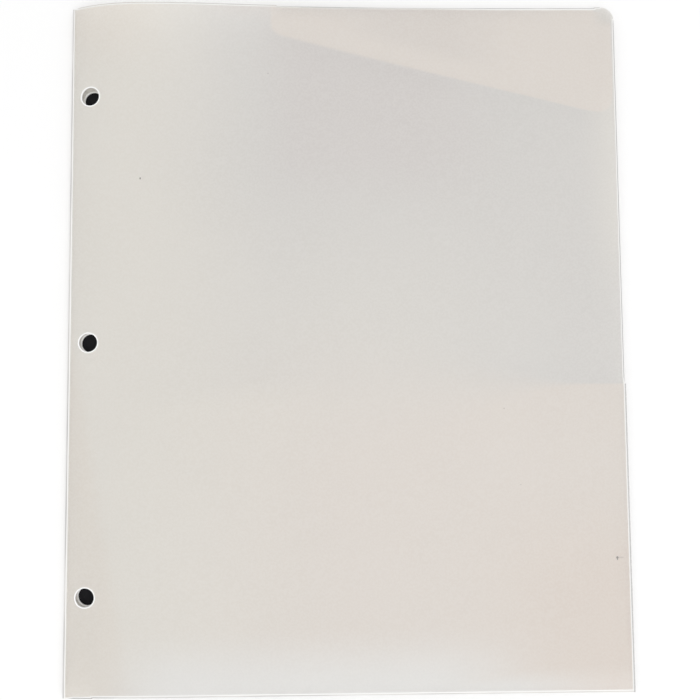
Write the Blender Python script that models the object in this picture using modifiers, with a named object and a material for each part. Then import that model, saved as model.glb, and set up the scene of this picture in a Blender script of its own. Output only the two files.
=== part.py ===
"""A two-pocket plastic folder with ring holes, closed and lying on its back cover.

The folder is die-cut from one polypropylene sheet, scored at the spine, folded over into two pockets and two
retaining tabs, and sealed along the pockets' outer edges. Each panel, crease and sealed edge is one object.
X runs from the spine to the open edge, Y up the page and Z up from the table. All sizes are in metres.
"""

import math

import bmesh
import bpy
from mathutils import Matrix, Vector

# The sheet
sheet = 0.0006
clearance = 0.0003

# The covers and the spine between their two score lines
cover_width = 0.240
cover_height = 0.2977
corner_radius = 0.006
spine_width = 0.0038

# The ring holes
hole_diameter = 0.0079
hole_pitch = 0.108
hole_inset = 0.0087
hole_raise = 0.0005

# The pockets
pocket_height = 0.130
pocket_setback = 0.0125
pocket_lean = 0.0095
pocket_corner = 0.010
seal_width = 0.0006
seal_roundness = 0.9

# The retaining tabs along the top edge
tab_start = 0.0903
tab_fold_margin = 0.0086
tab_side_margin = 0.0013
tab_flare = 0.0025
tab_flare_drop = 0.003
tab_short_side = 0.0116
tab_long_side = 0.0489
tab_inner_radius = 0.004
tab_outer_radius = 0.009
tab_recess = 0.0001

# How far the sprung front cover bows away from a straight panel, and where
bow_top = 0.0072
bow_middle = 0.0002
bow_bottom = 0.0012
bow_peak = 0.034
swell_height = 0.0040
swell_reach = 0.090

# How the front pocket hangs away from its cover towards the free corner
hang_width = 0.110
hang_rise = 0.080

# How finely round stretches and bent panels are divided
arc_steps = 6
hole_steps = 28
fold_steps = 8
panel_cells = (26, 18)
pocket_cells = (24, 12)
tab_cells = (14, 6)
crease_steps = 24
cell_crowding = 1.35
blank_margin = 0.003
die_depth = 0.01
slope_step = 0.0001
weld_distance = 1e-6
sharp_angle = math.radians(30)

# Levels of the four layers at the open edge, counted up from the table
layer = sheet + clearance
back_cover_level = sheet / 2
back_pocket_level = back_cover_level + layer
front_pocket_level = back_pocket_level + layer
front_cover_level = front_pocket_level + layer

# Places that several pieces share
score_radius = sheet / 2
score_gap = score_radius + clearance
fold_radius = layer / 2
bead_radius = fold_radius + sheet / 2
overall_width = score_radius + cover_width + clearance + seal_width
score_x = score_radius - overall_width / 2
top_y = cover_height / 2
bottom_y = -cover_height / 2
pocket_fold_y = bottom_y + bead_radius
pocket_top_y = bottom_y + pocket_height
panel_bottom_y = pocket_fold_y + clearance
tab_fold_y = top_y - tab_recess - bead_radius
tab_edge_y = tab_fold_y - bead_radius - clearance
tab_end = cover_width - tab_fold_margin
back_score_z = back_cover_level
front_score_z = back_score_z + spine_width

# The pale milky sheet, slightly darker where creasing or sealing has worked it
panel_colour = (0.72, 0.69, 0.64, 1.0)
worked_colour = (0.66, 0.64, 0.59, 1.0)
panel_roughness = 0.45
worked_roughness = 0.32


def clear_scene():
    """Empty the scene and start the folder's own collection."""
    for old in list(bpy.data.objects):
        bpy.data.objects.remove(old)
    folder = bpy.data.collections.new("pocket_folder")
    bpy.context.scene.collection.children.link(folder)
    return folder


def eased(share):
    """A smooth step from 0 to 1, level outside that range."""
    share = min(max(share, 0.0), 1.0)
    return share * share * (3 - 2 * share)


def bow_at(y):
    """How far the front cover bows near the spine at this height of the page."""
    share = 2 * y / cover_height
    end = bow_top if share > 0 else bow_bottom
    return bow_middle + (end - bow_middle) * share * share


def front_cover_height(s, y):
    """Height of the front cover's middle surface, s from the spine's score."""
    straight = front_score_z + (front_cover_level - front_score_z) * s / cover_width
    bow = bow_at(y) * s / bow_peak * math.exp(1 - s / bow_peak)
    nearness = math.exp(-(((y - pocket_top_y) / swell_reach) ** 2))
    swell = swell_height * math.sin(math.pi * s / cover_width) * nearness
    return straight + bow + swell


def front_tab_height(s, y):
    return front_cover_height(s, y) - layer


def front_pocket_height(s, y):
    """The front pocket follows its cover at the seal and fold and hangs onto the back pocket elsewhere."""
    held = front_cover_height(s, y) - layer
    hang = eased((cover_width - s) / hang_width) * eased((y - pocket_fold_y) / hang_rise)
    return held + (front_pocket_level - held) * hang


def thicken(surface):
    """Give an open surface the sheet's thickness, half to each side."""
    solidify = surface.modifiers.new("thicken", "SOLIDIFY")
    solidify.thickness = sheet
    solidify.offset = 0


def bent(point, height):
    """A point of a flat panel carried onto a bent one, with its offset kept square to the surface."""
    s, y, offset = point
    lean = (height(s + slope_step, y) - height(s - slope_step, y)) / (2 * slope_step)
    climb = (height(s, y + slope_step) - height(s, y - slope_step)) / (2 * slope_step)
    normal = Vector((-lean, -climb, 1)).normalized()
    return Vector((score_x + s, y, height(s, y))) + normal * offset


def rounded_outline(corners):
    """Points of a closed outline whose corners are (x, y, radius), the round ones turned into arcs."""
    points = []
    for index, (x, y, radius) in enumerate(corners):
        corner = Vector((x, y))
        if radius == 0:
            points.append(corner)
            continue
        before = (Vector(corners[index - 1][:2]) - corner).normalized()
        after = (Vector(corners[(index + 1) % len(corners)][:2]) - corner).normalized()
        half_angle = before.angle(after) / 2
        centre = corner + (before + after).normalized() * (radius / math.sin(half_angle))
        start = corner + before * (radius / math.tan(half_angle)) - centre
        sweep = math.pi - 2 * half_angle
        if before.cross(after) > 0:
            sweep = -sweep
        for step in range(arc_steps + 1):
            turned = start.copy()
            turned.rotate(Matrix.Rotation(sweep * step / arc_steps, 2))
            points.append(centre + turned)
    return points


def circle(x, y, radius, steps):
    turns = (2 * math.pi * step / steps for step in range(steps))
    return [Vector((x + radius * math.cos(turn), y + radius * math.sin(turn))) for turn in turns]


def linked(name, data):
    thing = bpy.data.objects.new(name, data)
    bpy.context.scene.collection.objects.link(thing)
    return thing


def mesh_of(form, name):
    mesh = bpy.data.meshes.new(name)
    form.to_mesh(mesh)
    form.free()
    return mesh


def evaluated_mesh(thing):
    """The object's shape with its modifiers applied, its loose caps welded, and the object itself removed."""
    graph = bpy.context.evaluated_depsgraph_get()
    mesh = bpy.data.meshes.new_from_object(thing.evaluated_get(graph))
    bpy.data.objects.remove(thing)
    form = bmesh.new()
    form.from_mesh(mesh)
    bmesh.ops.remove_doubles(form, verts=form.verts, dist=weld_distance)
    bmesh.ops.recalc_face_normals(form, faces=form.faces)
    form.to_mesh(mesh)
    form.free()
    return mesh


def prism(loops, depth):
    """A flat outline with its holes, extruded evenly to both sides of its plane."""
    curve = bpy.data.curves.new("outline", "CURVE")
    curve.dimensions = "2D"
    curve.fill_mode = "BOTH"
    curve.extrude = depth / 2
    for loop in loops:
        spline = curve.splines.new("POLY")
        spline.points.add(len(loop) - 1)
        spline.use_cyclic_u = True
        for point, place in zip(spline.points, loop):
            point.co = (place.x, place.y, 0, 1)
    return evaluated_mesh(linked("outline", curve))


def flat_panel(loops, level):
    """A panel that lies flat at one level."""
    mesh = prism(loops, sheet)
    mesh.transform(Matrix.Translation((score_x, 0, level)))
    return mesh


def bent_panel(loops, cells, height):
    """A panel die-cut from a flat gridded blank and then bent to a height over the table."""
    die = linked("die", prism(loops, die_depth))
    low = Vector((min(p.x for p in loops[0]), min(p.y for p in loops[0])))
    high = Vector((max(p.x for p in loops[0]), max(p.y for p in loops[0])))
    low -= Vector((blank_margin, blank_margin))
    high += Vector((blank_margin, blank_margin))
    form = bmesh.new()
    bmesh.ops.create_grid(form, x_segments=cells[0], y_segments=cells[1], size=1)
    for vertex in form.verts:
        across = ((vertex.co.x + 1) / 2) ** cell_crowding
        up = (vertex.co.y + 1) / 2
        vertex.co.x = low.x + (high.x - low.x) * across
        vertex.co.y = low.y + (high.y - low.y) * up
    blank = linked("blank", mesh_of(form, "blank"))
    thicken(blank)
    cut = blank.modifiers.new("cut", "BOOLEAN")
    cut.operation = "INTERSECT"
    cut.object = die
    mesh = evaluated_mesh(blank)
    bpy.data.objects.remove(die)
    for vertex in mesh.vertices:
        vertex.co = bent(vertex.co, height)
    return mesh


def pocket_fold(upper_height):
    """The sheet turned back on itself along the bottom edge, from the upper of two layers to the lower."""
    form = bmesh.new()
    bmesh.ops.create_grid(form, x_segments=crease_steps, y_segments=fold_steps, size=1)
    for vertex in form.verts:
        s = pocket_setback + (cover_width - pocket_setback) * (vertex.co.x + 1) / 2
        turn = math.pi * (1 + vertex.co.y / 2)
        middle = upper_height(s, pocket_fold_y) - fold_radius
        y = pocket_fold_y + fold_radius * math.cos(turn)
        vertex.co = (score_x + s, y, middle + fold_radius * math.sin(turn))
    strip = linked("strip", mesh_of(form, "strip"))
    thicken(strip)
    return evaluated_mesh(strip)


def bead(places, radius):
    """A round crease along the given places."""
    curve = bpy.data.curves.new("crease", "CURVE")
    curve.dimensions = "3D"
    curve.bevel_depth = radius
    curve.bevel_resolution = 2
    curve.use_fill_caps = True
    spline = curve.splines.new("POLY")
    spline.points.add(len(places) - 1)
    for point, place in zip(spline.points, places):
        point.co = (place.x, place.y, place.z, 1)
    return evaluated_mesh(linked("crease", curve))


def score_bead(z):
    ends = [Vector((score_x, y, z)) for y in (bottom_y, top_y)]
    return bead(ends, score_radius)


def tab_bead(height, steps=1):
    """The tab's rolled crease, straight unless it is given steps to follow a curve."""
    places = []
    for step in range(steps + 1):
        s = tab_start + (tab_end - tab_start) * step / steps
        places.append(Vector((score_x + s, tab_fold_y, height(s, tab_fold_y))))
    return bead(places, bead_radius)


def pocket_seal(low_level):
    """The half-round bead left where the pocket's outer edge is sealed to its cover."""
    tall = 2 * sheet + clearance
    inner = cover_width + clearance
    low = low_level - sheet / 2
    rounding = seal_roundness * min(seal_width, tall / 2)
    corners = [
        (inner, low, 0),
        (inner + seal_width, low, rounding),
        (inner + seal_width, low + tall, rounding),
        (inner, low + tall, 0),
    ]
    mesh = prism([rounded_outline(corners)], pocket_height)
    mesh.transform(Matrix.Rotation(math.radians(90), 4, "X"))
    mesh.transform(Matrix.Translation((score_x, (bottom_y + pocket_top_y) / 2, 0)))
    return mesh


def cover_loops():
    """A cover's outline, set back where its pocket and tab fold over, with its three ring holes."""
    pocket_notch = pocket_setback - clearance
    tab_notch = (tab_start - clearance, tab_end + clearance)
    outline = rounded_outline(
        [
            (score_gap, bottom_y, 0),
            (pocket_notch, bottom_y, 0),
            (pocket_notch, panel_bottom_y, 0),
            (cover_width, panel_bottom_y, 0),
            (cover_width, top_y, corner_radius),
            (tab_notch[1], top_y, 0),
            (tab_notch[1], tab_edge_y, 0),
            (tab_notch[0], tab_edge_y, 0),
            (tab_notch[0], top_y, 0),
            (score_gap, top_y, 0),
        ]
    )
    hole_places = [hole_raise + hole_pitch * number for number in (-1, 0, 1)]
    holes = [circle(hole_inset, y, hole_diameter / 2, hole_steps) for y in hole_places]
    return [outline] + holes


def pocket_loops():
    """A pocket's outline: it leans away from the spine and keeps clear of the ring holes."""
    return [
        rounded_outline(
            [
                (pocket_setback, panel_bottom_y, 0),
                (cover_width, panel_bottom_y, 0),
                (cover_width, pocket_top_y, 0),
                (pocket_setback + pocket_lean, pocket_top_y, pocket_corner),
            ]
        )
    ]


def tab_loops():
    """A tab's outline, folded in: shallow towards the spine and deep towards the open edge."""
    outer = cover_width - tab_side_margin
    inner = tab_start - tab_flare
    return [
        rounded_outline(
            [
                (inner, tab_fold_y - tab_short_side, tab_inner_radius),
                (outer, tab_fold_y - tab_long_side, tab_outer_radius),
                (outer, tab_edge_y, corner_radius),
                (tab_start, tab_edge_y, 0),
                (inner, tab_edge_y - tab_flare_drop, 0),
            ]
        )
    ]


def spine_panel():
    """The narrow panel that stands between the two scores."""
    low = back_score_z + score_gap
    high = front_score_z - score_gap
    form = bmesh.new()
    bmesh.ops.create_cube(form, size=1)
    bmesh.ops.scale(form, vec=(sheet, cover_height, high - low), verts=form.verts)
    bmesh.ops.translate(form, vec=(score_x, 0, (low + high) / 2), verts=form.verts)
    return mesh_of(form, "spine")


def finish(name, colour, roughness):
    material = bpy.data.materials.new(name)
    material.use_nodes = True
    shader = material.node_tree.nodes["Principled BSDF"]
    shader.inputs["Base Color"].default_value = colour
    shader.inputs["Roughness"].default_value = roughness
    shader.inputs["Metallic"].default_value = 0.0
    return material


def axis_empty(collection, name, place, parent):
    """An empty on a hinge's axis, which carries the pieces that turn with it."""
    empty = bpy.data.objects.new(name, None)
    collection.objects.link(empty)
    empty.parent = parent
    empty.location = place - Vector(parent["place"]) if parent else place
    empty["place"] = place
    return empty


def add_piece(carrier, name, mesh, worked=False):
    """Give a mesh its name and material and hang it, where it lies, on the empty that carries it."""
    mesh.name = name
    mesh.shade_smooth()
    mesh.set_sharp_from_angle(angle=sharp_angle)
    colour = worked_colour if worked else panel_colour
    roughness = worked_roughness if worked else panel_roughness
    mesh.materials.clear()
    mesh.materials.append(finish(name + "_plastic", colour, roughness))
    piece = bpy.data.objects.new(name, mesh)
    carrier.users_collection[0].objects.link(piece)
    piece.parent = carrier
    piece.location = -Vector(carrier["place"])


def back_pocket_height(s, y):
    """The back pocket lies level, like every back piece, wherever it is asked."""
    return back_pocket_level


def back_crease_height(s, y):
    """The back tab's crease lies halfway between the back cover and its tab."""
    return back_cover_level + fold_radius


def front_crease_height(s, y):
    """The front tab's crease lies halfway between the front cover and its tab."""
    return front_cover_height(s, y) - fold_radius


def main():
    folder = clear_scene()
    root = axis_empty(folder, "back_score_axis", Vector((score_x, 0, back_score_z)), None)
    spine = axis_empty(folder, "spine_axis", Vector((score_x, 0, back_score_z)), root)
    front = axis_empty(folder, "front_score_axis", Vector((score_x, 0, front_score_z)), spine)
    back_tab_place = Vector((score_x + tab_start, tab_fold_y, back_crease_height(tab_start, tab_fold_y)))
    back_tab = axis_empty(folder, "back_tab_axis", back_tab_place, root)
    front_tab_place = Vector((score_x + tab_start, tab_fold_y, front_crease_height(tab_start, tab_fold_y)))
    front_tab = axis_empty(folder, "front_tab_axis", front_tab_place, front)

    add_piece(root, "back_cover", flat_panel(cover_loops(), back_cover_level))
    add_piece(root, "back_pocket", flat_panel(pocket_loops(), back_pocket_level))
    add_piece(root, "back_pocket_fold", pocket_fold(back_pocket_height), worked=True)
    add_piece(root, "back_pocket_seal", pocket_seal(back_cover_level), worked=True)
    add_piece(root, "back_score", score_bead(back_score_z), worked=True)
    add_piece(back_tab, "back_tab", flat_panel(tab_loops(), back_pocket_level))
    add_piece(back_tab, "back_tab_crease", tab_bead(back_crease_height), worked=True)

    add_piece(spine, "spine", spine_panel())
    add_piece(spine, "front_score", score_bead(front_score_z), worked=True)

    add_piece(front, "front_cover", bent_panel(cover_loops(), panel_cells, front_cover_height))
    add_piece(front, "front_pocket", bent_panel(pocket_loops(), pocket_cells, front_pocket_height))
    add_piece(front, "front_pocket_fold", pocket_fold(front_cover_height), worked=True)
    add_piece(front, "front_pocket_seal", pocket_seal(front_pocket_level), worked=True)
    add_piece(front_tab, "front_tab", bent_panel(tab_loops(), tab_cells, front_tab_height))
    add_piece(front_tab, "front_tab_crease", tab_bead(front_crease_height, crease_steps), worked=True)


main()
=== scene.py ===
"""Looks of a closed two-pocket plastic folder, laid out as an add-on and run as a script.

The folder is one polypropylene sheet, die-cut, scored at the spine, folded over into two pockets and two
tabs and sealed along the pockets' outer edges. Each panel starts as a flat blank, drawn with s across from
the spine's score, y up the page and the sheet's thickness in z, and is then bent to the shape that the
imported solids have.
"""

import math

import bmesh
import bpy
from mathutils import Matrix, Vector, noise
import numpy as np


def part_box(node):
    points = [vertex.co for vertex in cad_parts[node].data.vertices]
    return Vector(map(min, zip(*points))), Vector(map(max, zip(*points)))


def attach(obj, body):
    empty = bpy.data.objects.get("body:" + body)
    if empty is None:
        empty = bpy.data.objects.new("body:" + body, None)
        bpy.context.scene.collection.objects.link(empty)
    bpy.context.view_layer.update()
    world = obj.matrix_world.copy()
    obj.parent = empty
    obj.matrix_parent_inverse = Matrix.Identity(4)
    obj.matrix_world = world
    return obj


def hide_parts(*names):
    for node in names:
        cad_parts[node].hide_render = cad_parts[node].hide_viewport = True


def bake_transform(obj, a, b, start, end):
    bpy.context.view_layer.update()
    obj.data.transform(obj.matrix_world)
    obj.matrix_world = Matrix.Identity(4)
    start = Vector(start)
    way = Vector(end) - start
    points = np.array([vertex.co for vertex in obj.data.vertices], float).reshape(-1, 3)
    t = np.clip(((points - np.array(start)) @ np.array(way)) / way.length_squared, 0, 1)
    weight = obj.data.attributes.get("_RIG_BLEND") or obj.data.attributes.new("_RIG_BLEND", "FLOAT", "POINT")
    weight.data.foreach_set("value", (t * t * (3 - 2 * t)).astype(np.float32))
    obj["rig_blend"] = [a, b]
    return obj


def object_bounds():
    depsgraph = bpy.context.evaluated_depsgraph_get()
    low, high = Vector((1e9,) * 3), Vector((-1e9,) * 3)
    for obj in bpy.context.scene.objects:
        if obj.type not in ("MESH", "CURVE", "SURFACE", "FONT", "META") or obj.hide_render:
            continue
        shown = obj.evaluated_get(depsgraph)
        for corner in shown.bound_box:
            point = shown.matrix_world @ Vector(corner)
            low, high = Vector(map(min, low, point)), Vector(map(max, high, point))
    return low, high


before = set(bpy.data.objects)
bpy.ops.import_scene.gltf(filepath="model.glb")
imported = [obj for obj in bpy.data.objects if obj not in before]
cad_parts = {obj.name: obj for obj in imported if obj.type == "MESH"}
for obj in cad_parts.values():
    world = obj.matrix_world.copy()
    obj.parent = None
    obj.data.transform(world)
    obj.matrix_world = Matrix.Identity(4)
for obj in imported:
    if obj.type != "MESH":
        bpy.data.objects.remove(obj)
cad_box = [list(corner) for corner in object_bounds()]

bl_info = {
    "name": "Pocket folder",
    "version": (1, 0, 0),
    "blender": (4, 5, 0),
    "location": "3D View > Sidebar > Folder",
    "description": "Builds the visible sheets, creases and seals of a two-pocket plastic folder",
    "category": "Object",
}

# How finely the sheets are divided
corner_segments = 10
hole_segments = 64
turn_segments = 12
edge_segments = 2
weld_segments = 20
weld_step = 0.0012
crease_lengths = 4
floor_cells = 4
slope_step = 0.0001

# How near two places count as one, and which angles between faces count as smooth and as cut
same_place = 1e-7
same_line = 1e-6
smooth_below = math.radians(38)
cut_above = math.radians(57)

# Which part of a marked band each look takes, from 0 inside to 1 on the edge: whitening with a painted
# highlight, a painted shade line on the edge, and whitening with a painted highlight round holes
band_start = (0.12, 0.30)
band_end = (0.64, 0.50)
line_start = (0.52, 0.68)
ring_start = (0.38, 0.56)
joined_rim = 0.36
rounded_rim = (0.75, 1.10)

# Which part of a turned strip each look takes, from 0 at the cover to 1 at the inner layer: whitening with a
# painted highlight where it starts to turn and painted shade where it is seen edge on
turn_start = (0.01, 0.04)
grey_turn_end = (0.75, 0.50)

# Zones of a cover and its creases, where light and shade are painted. Each step goes from where a look
# starts to where it is full, in metres across from the score and up the page, and share is how strong the
# look gets
# mouth_zone and open_edge_zone spread the painted light of the spine zone, and high_zone keeps it off the
# top of the cover away from the spine
mouth_zone = dict(across=[(0.235, 0.130)], up=[(0.085, 0.000)], share=0.5)
open_edge_zone = dict(across=[(0.222, 0.238)], up=[(0.010, 0.060)], share=0.5)
high_zone = dict(across=[(0.050, 0.085)], up=[(0.100, 0.140)])
shade_zone = dict(across=[(0.075, 0.105), (0.200, 0.150)], up=[(0.050, 0.088)])
# top_strip_zone carries the same painted shade along the top near the spine
top_strip_zone = dict(across=[(0.050, 0.020)], up=[(0.110, 0.146)])
warm_zone = dict(across=[(0.150, 0.230)], up=[(-0.050, -0.110)])
# tab_gap_zone places painted shade over the tab's middle and top_shade_zone along the top edge
tab_gap_zone = dict(across=[(0.105, 0.145), (0.200, 0.165)], share=0.6)
top_shade_zone = dict(across=[(0.045, 0.075), (0.225, 0.185)], up=[(0.140, 0.149)], share=0.5)
# plain_crease_zone keeps the painted highlight off part of the top crease, and pale_end_zone keeps the
# painted shade off the creases low down towards the open edge
plain_crease_zone = dict(across=[(0.0843, 0.0923), (0.1953, 0.1553)], up=[(0.140, 0.146)], share=0.65)
pale_end_zone = dict(across=[(0.0603, 0.2203)], up=[(0.000, -0.100)], share=0.65)

# Zones of painted light and shade measured from lines of their own: down from the pocket's mouth, up from
# the bottom edge, and in from the open edge and the top edge
# glow_zone spreads the same painted light just below the pocket's mouth
glow_zone = dict(across=[(0.200, 0.070)], up=[(-0.020, 0.012)])
fold_zone = dict(across=[(0.008, 0.050), (0.215, 0.150)], up=[(0.030, 0.003)])
fold_line_zone = dict(across=[(0.008, 0.050)], up=[(0.013, 0.002)], share=0.90)
# corner_zone places that painted shade
corner_zone = dict(across=[(0.011, 0.003)], up=[(0.011, 0.003)])

# The rest of a cover's painted light and shade, in the same measures
spine_zone_start = 0.020
spine_reach_up = (0.010, 0.085)
spine_reach = (0.140, 0.095)
strip_slant = -0.176
strip_offset = 0.0018
strip_blur = 0.004
pocket_zone_across = (0.020, 0.130)
pocket_blur_across = (0.100, 0.225)
pocket_blur = (0.045, 0.0006)
tab_blur = (0.0010, 0.0005)
tab_gap_depth = (0.004, 0.014)
smooth_per_radius = 1.75
warm_fold_across = (0.185, 0.235)
# faint_line_* make the painted shade line on a cover's edge fainter along the top
faint_line_up = (0.140, 0.146)
faint_line_share = 0.45

# Specks and the scuff on the front cover: place across and up, half width, half height and strength
use_marks = (
    (0.03085, 0.0719, 0.00038, 0.00060, 0.95),
    (0.0865, 0.1183, 0.00038, 0.00038, 0.40),
    (0.1872, -0.0291, 0.00038, 0.00038, 0.40),
    (0.1938, -0.0616, 0.00038, 0.00038, 0.40),
    (0.2346, -0.0928, 0.00066, 0.00062, 0.95),
    (0.2346, -0.0933, 0.00042, 0.00090, 0.80),
    (0.2360, -0.0928, 0.00180, 0.00042, 0.30),
)
mark_fade = (0.5, 1.0)

# Patterns of the plastics: sizes and depths in metres, and which part of a pattern's range takes effect
soft_detail = 1.0
fine_detail = 3.0
grain_roughness = 0.6
wave_size = 0.03
wave_depth = 0.0002
mottle_part = (0.62, 0.38)
mottle_dark = 0.03
mottle_pale = 0.15
cloud_size = 0.05
cloud_part = (0.35, 0.75)
cloud_share = 0.25
crease_stretch = (1.0, 1.0, 6.0)
crease_line = 0.0015
crease_depth = 0.00002
crease_cloud = 0.012
crease_cloud_part = (0.3, 0.8)
# grey_lump_* break the painted shade of an edge-on turn into lumps
grey_lump = 0.030
grey_lump_part = (0.35, 0.65)
grey_lump_share = (0.30, 0.85)
weld_stretch = (0.3, 1.0, 0.3)
weld_wave = 0.0018
weld_wave_part = (0.3, 0.75)
weld_depth = 0.00005
weld_dark = 0.93
weld_lumps = (300, 400, 300)
rough_part = (0.3, 0.7)
sheet_spread = (-0.06, 0.06)
crease_spread = (-0.05, 0.08)
weld_spread = (-0.06, 0.10)
plastic_ior = 1.49
black = (0.0, 0.0, 0.0)
white = (1.0, 1.0, 1.0)

# Floor, pad and camera
floor_size = 6.0
floor_level = -0.0003
pad_level = -0.00015
floor_cloud = 0.3
floor_dark = 0.99
sensor_width = 36.0
nearest_seen = 0.01


def kind_of(make, **fixed):
    """A short way to write the properties of one kind."""

    def written(name, description, default):
        return make(name=name, description=description, default=default, **fixed)

    return written


length = kind_of(bpy.props.FloatProperty, min=0.0, precision=5, unit="LENGTH", subtype="DISTANCE")
place = kind_of(bpy.props.FloatVectorProperty, precision=5, unit="LENGTH", subtype="TRANSLATION")
turn = kind_of(bpy.props.FloatVectorProperty, unit="ROTATION", subtype="EULER")
colour = kind_of(bpy.props.FloatVectorProperty, min=0.0, max=1.0, subtype="COLOR")
share = kind_of(bpy.props.FloatProperty, min=0.0, max=1.0, subtype="FACTOR")
power = kind_of(bpy.props.FloatProperty, min=0.0, unit="POWER", subtype="POWER")
lens = kind_of(bpy.props.FloatProperty, min=1.0, unit="CAMERA")


class FolderSizes(bpy.types.PropertyGroup):
    """Sizes of the sheet, its cut outline and the way the front cover springs up."""

    sheet: length("Sheet", "Thickness of the plastic sheet", 0.0006)
    clearance: length("Clearance", "Room between two layers of sheet", 0.0003)
    cover_width: length("Cover width", "From the spine's score to the open edge", 0.240)
    cover_height: length("Cover height", "From the bottom fold to the top edge", 0.2977)
    corner_radius: length("Corner radius", "Rounding of the covers' top outer corners", 0.006)
    spine_width: length("Spine width", "Between the two scores", 0.0038)
    hole_diameter: length("Hole diameter", "Across a ring hole", 0.0079)
    hole_pitch: length("Hole pitch", "Between neighbouring ring holes", 0.108)
    hole_inset: length("Hole inset", "From the score to the middle of a ring hole", 0.0087)
    hole_raise: length("Hole raise", "How far the middle hole lies above the cover's middle", 0.0005)
    pocket_height: length("Pocket height", "From the bottom fold to the pocket's mouth", 0.130)
    pocket_setback: length("Pocket setback", "From the score to the pocket's lower inner corner", 0.0125)
    pocket_lean: length("Pocket lean", "How far the pocket's inner edge leans outwards", 0.0095)
    pocket_corner: length("Pocket corner", "Rounding of the pocket's free corner", 0.010)
    seal_width: length("Seal width", "How far the sealed edge stands out", 0.0006)
    tab_start: length("Tab start", "From the score to the near end of the tab's fold", 0.0903)
    tab_fold_margin: length("Tab fold margin", "From the fold's far end to the open edge", 0.0086)
    tab_side_margin: length("Tab side margin", "From the tab's outer edge to the open edge", 0.0013)
    tab_flare: length("Tab flare", "How far the tab reaches past the near end of its fold", 0.0025)
    tab_flare_drop: length("Tab flare drop", "How far below the fold the tab has its full width", 0.003)
    tab_short_side: length("Tab short side", "Depth of the tab towards the spine", 0.0116)
    tab_long_side: length("Tab long side", "Depth of the tab towards the open edge", 0.0489)
    tab_inner_radius: length("Tab inner radius", "Rounding of the corner towards the spine", 0.004)
    tab_outer_radius: length("Tab outer radius", "Rounding of the corner towards the open edge", 0.009)
    tab_recess: length("Tab recess", "How far the tab's fold lies inside the top edge", 0.0001)
    bow_top: length("Bow at the top", "How far the top edge springs up near the spine", 0.0072)
    bow_middle: length("Bow in the middle", "How far the cover's middle springs up near the spine", 0.0002)
    bow_bottom: length("Bow at the bottom", "How far the bottom edge springs up near the spine", 0.0012)
    bow_peak: length("Bow peak", "From the score to the highest place of the bow", 0.034)
    swell_height: length("Swell height", "How far the pocket's mouth lifts the cover", 0.0040)
    swell_reach: length("Swell reach", "How far up and down the page that lift fades", 0.090)
    hang_width: length("Hang width", "Across how much of the front pocket it leaves its cover", 0.110)
    hang_rise: length("Hang rise", "Up how much of the front pocket it leaves its cover", 0.080)
    cell: length("Cell", "Size of the cells that a bent sheet is divided into", 0.004)
    # The rim band carries whitening with a painted highlight and a painted shade line on the edge
    rim_width: length("Rim width", "Width of the band that cutting marks along an edge", 0.0010)
    edge_round: length("Edge rounding", "Rounding of a cut edge", 0.0002)
    weld_ripple: length("Weld ripple", "Unevenness of the sealed edge", 0.00007)


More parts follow.
